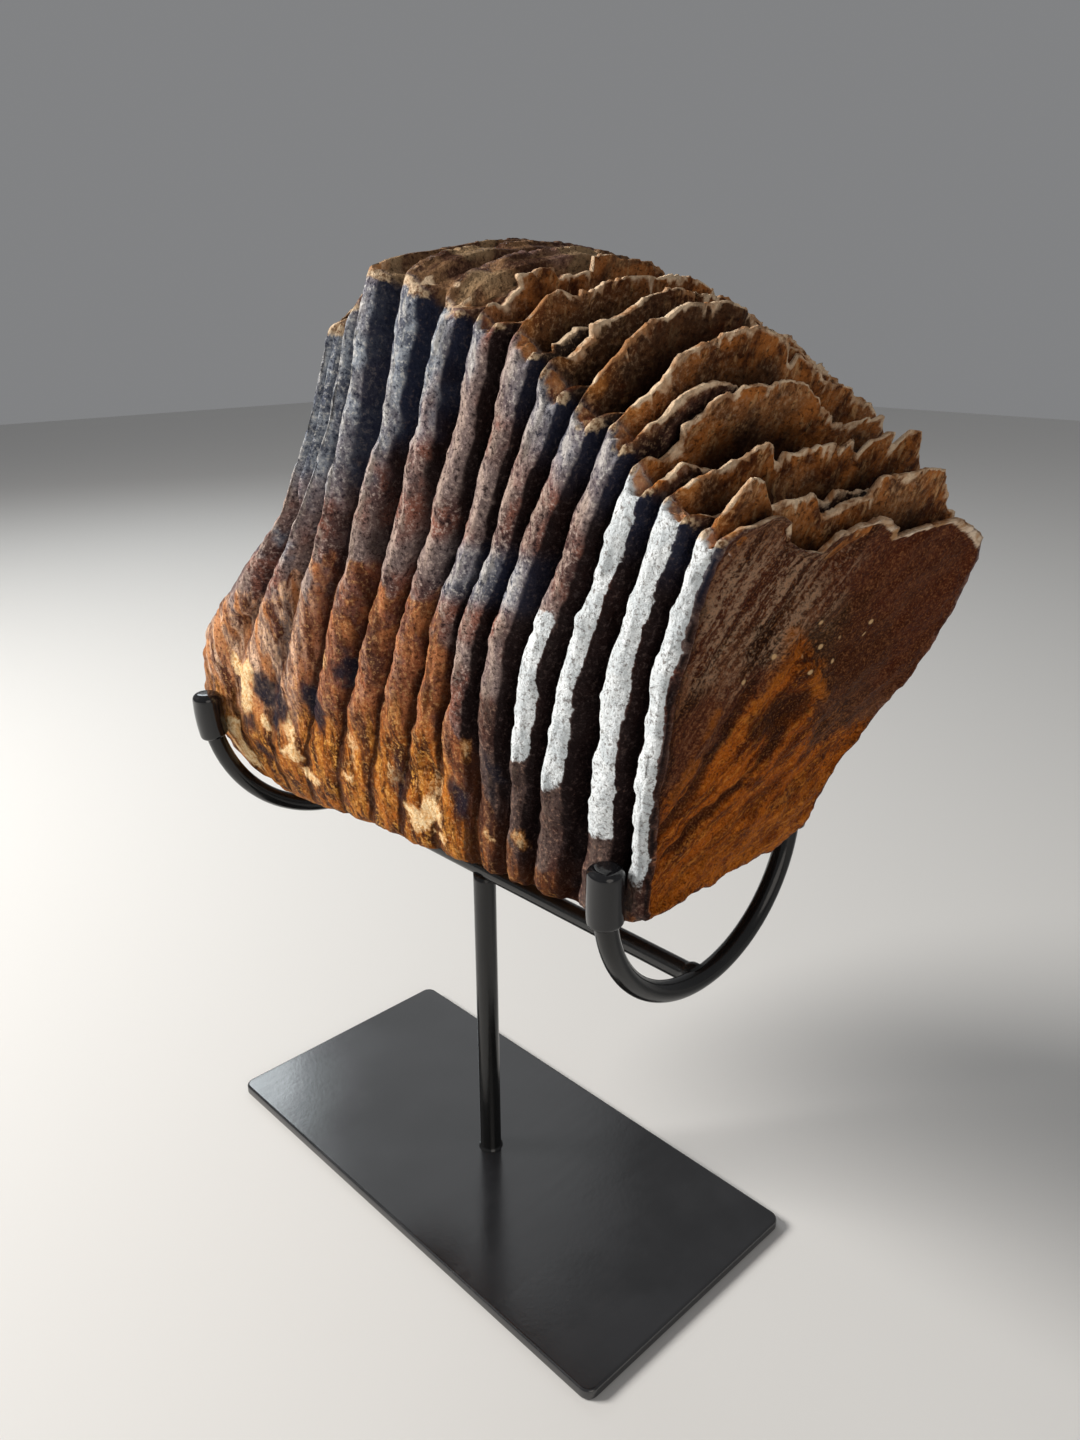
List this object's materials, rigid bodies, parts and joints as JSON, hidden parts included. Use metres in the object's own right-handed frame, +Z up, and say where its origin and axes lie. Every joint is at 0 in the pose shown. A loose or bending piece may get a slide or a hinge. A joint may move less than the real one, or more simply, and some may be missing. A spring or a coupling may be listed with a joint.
{
  "type": "fossil mammoth molar on cradle stand",
  "caption": "Fossil mammoth molar with open, leaning enamel plates, resting in a black steel cradle stand with rubber tips and a flat rectangular base.",
  "frame": {"origin": "middle of the base plate's underside", "axes": "+Z up from the table along the post; X along the base plate, the rail and the tooth, +X towards the tooth's cleaved front plate; +Y across, away from the side with the chalk-white ridges"},
  "size_m": [0.2447, 0.118, 0.3256],
  "materials": {
    "fossil": "mineralised enamel, dentine and cement, rough, rust brown below, blue grey above, chalk white on the front plates",
    "stand_steel": "satin black paint",
    "rod_steel": "satin black paint",
    "tip_rubber": "smooth black vinyl rubber"
  },
  "bodies": {
    "root": {"molar": "fossil", "base_plate": "stand_steel", "post": "rod_steel", "rail": "rod_steel", "cradle_right": "rod_steel", "cradle_left": "rod_steel", "cap_right_near": "tip_rubber", "cap_right_far": "tip_rubber", "cap_left_near": "tip_rubber", "cap_left_far": "tip_rubber"}
  },
  "joints": []
}
